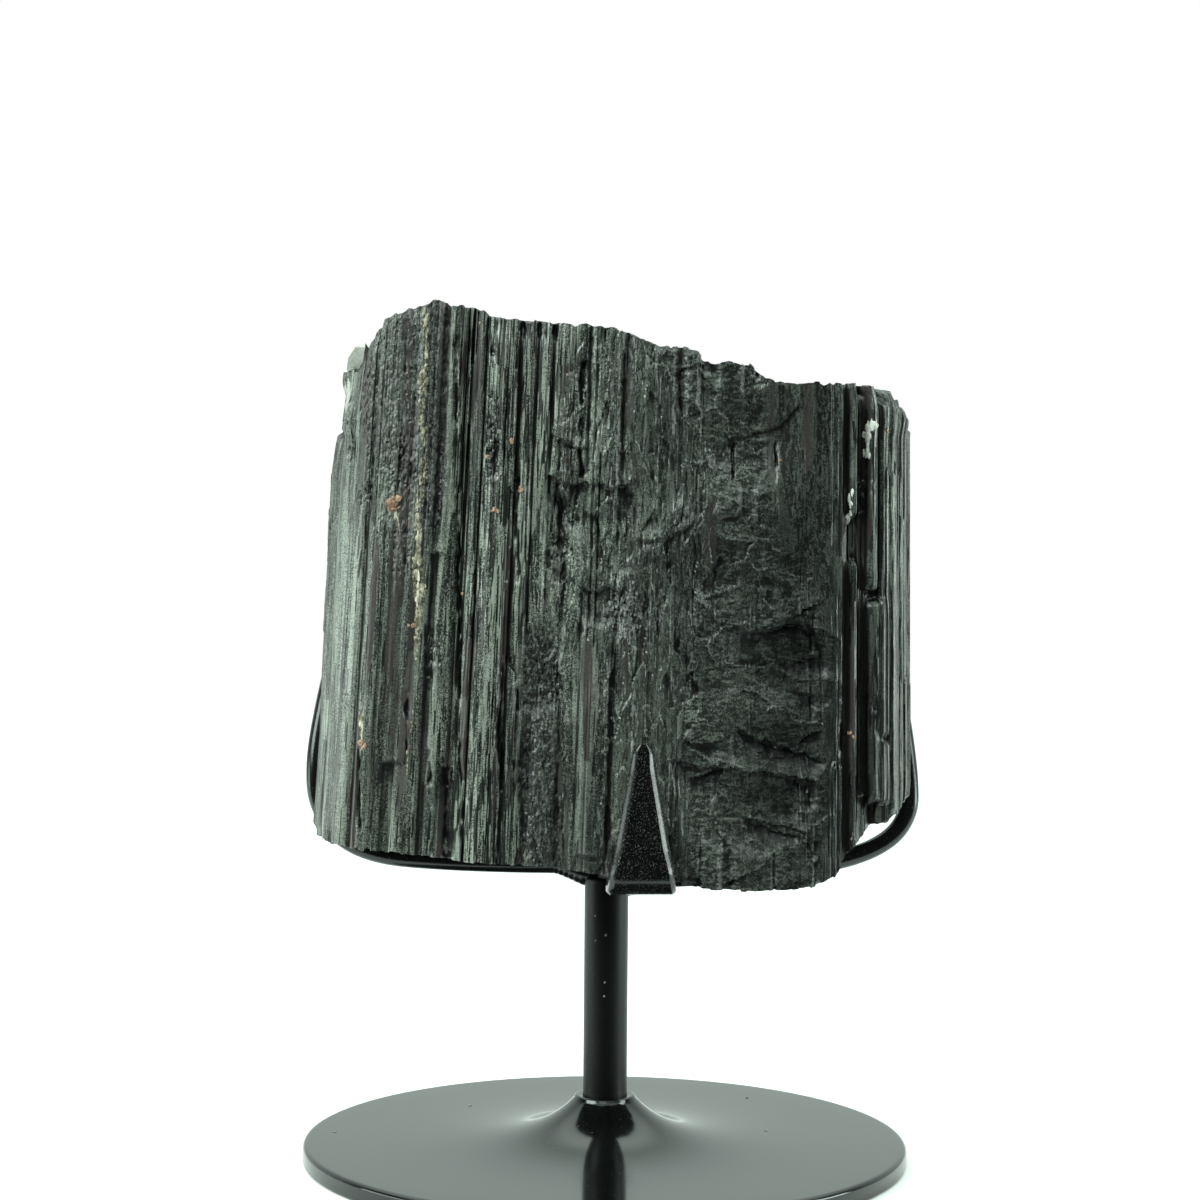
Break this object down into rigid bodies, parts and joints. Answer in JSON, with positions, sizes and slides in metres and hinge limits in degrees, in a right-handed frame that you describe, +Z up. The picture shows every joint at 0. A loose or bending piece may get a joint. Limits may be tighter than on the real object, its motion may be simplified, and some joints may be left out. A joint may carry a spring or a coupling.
{
  "type": "tourmaline crystal on a display stand",
  "caption": "Broken slab of black striated tourmaline held by bent arms and a front hook on a round-footed black metal display stand.",
  "frame": {"origin": "middle of the foot's flat underside, on the surface it stands on", "axes": "+Z up along the stem, -Y towards the viewer and the hook, +X to the viewer's right"},
  "size_m": [0.1131, 0.11, 0.1552],
  "materials": {
    "crystal": "black to green-black, glassy and striated along the grain, duller where it broke across",
    "stand_paint": "gloss black"
  },
  "bodies": {
    "root": {"crystal": "crystal", "base": "stand_paint", "stem": "stand_paint", "left_arm": "stand_paint", "right_arm": "stand_paint", "front_hook": "stand_paint"}
  },
  "joints": []
}
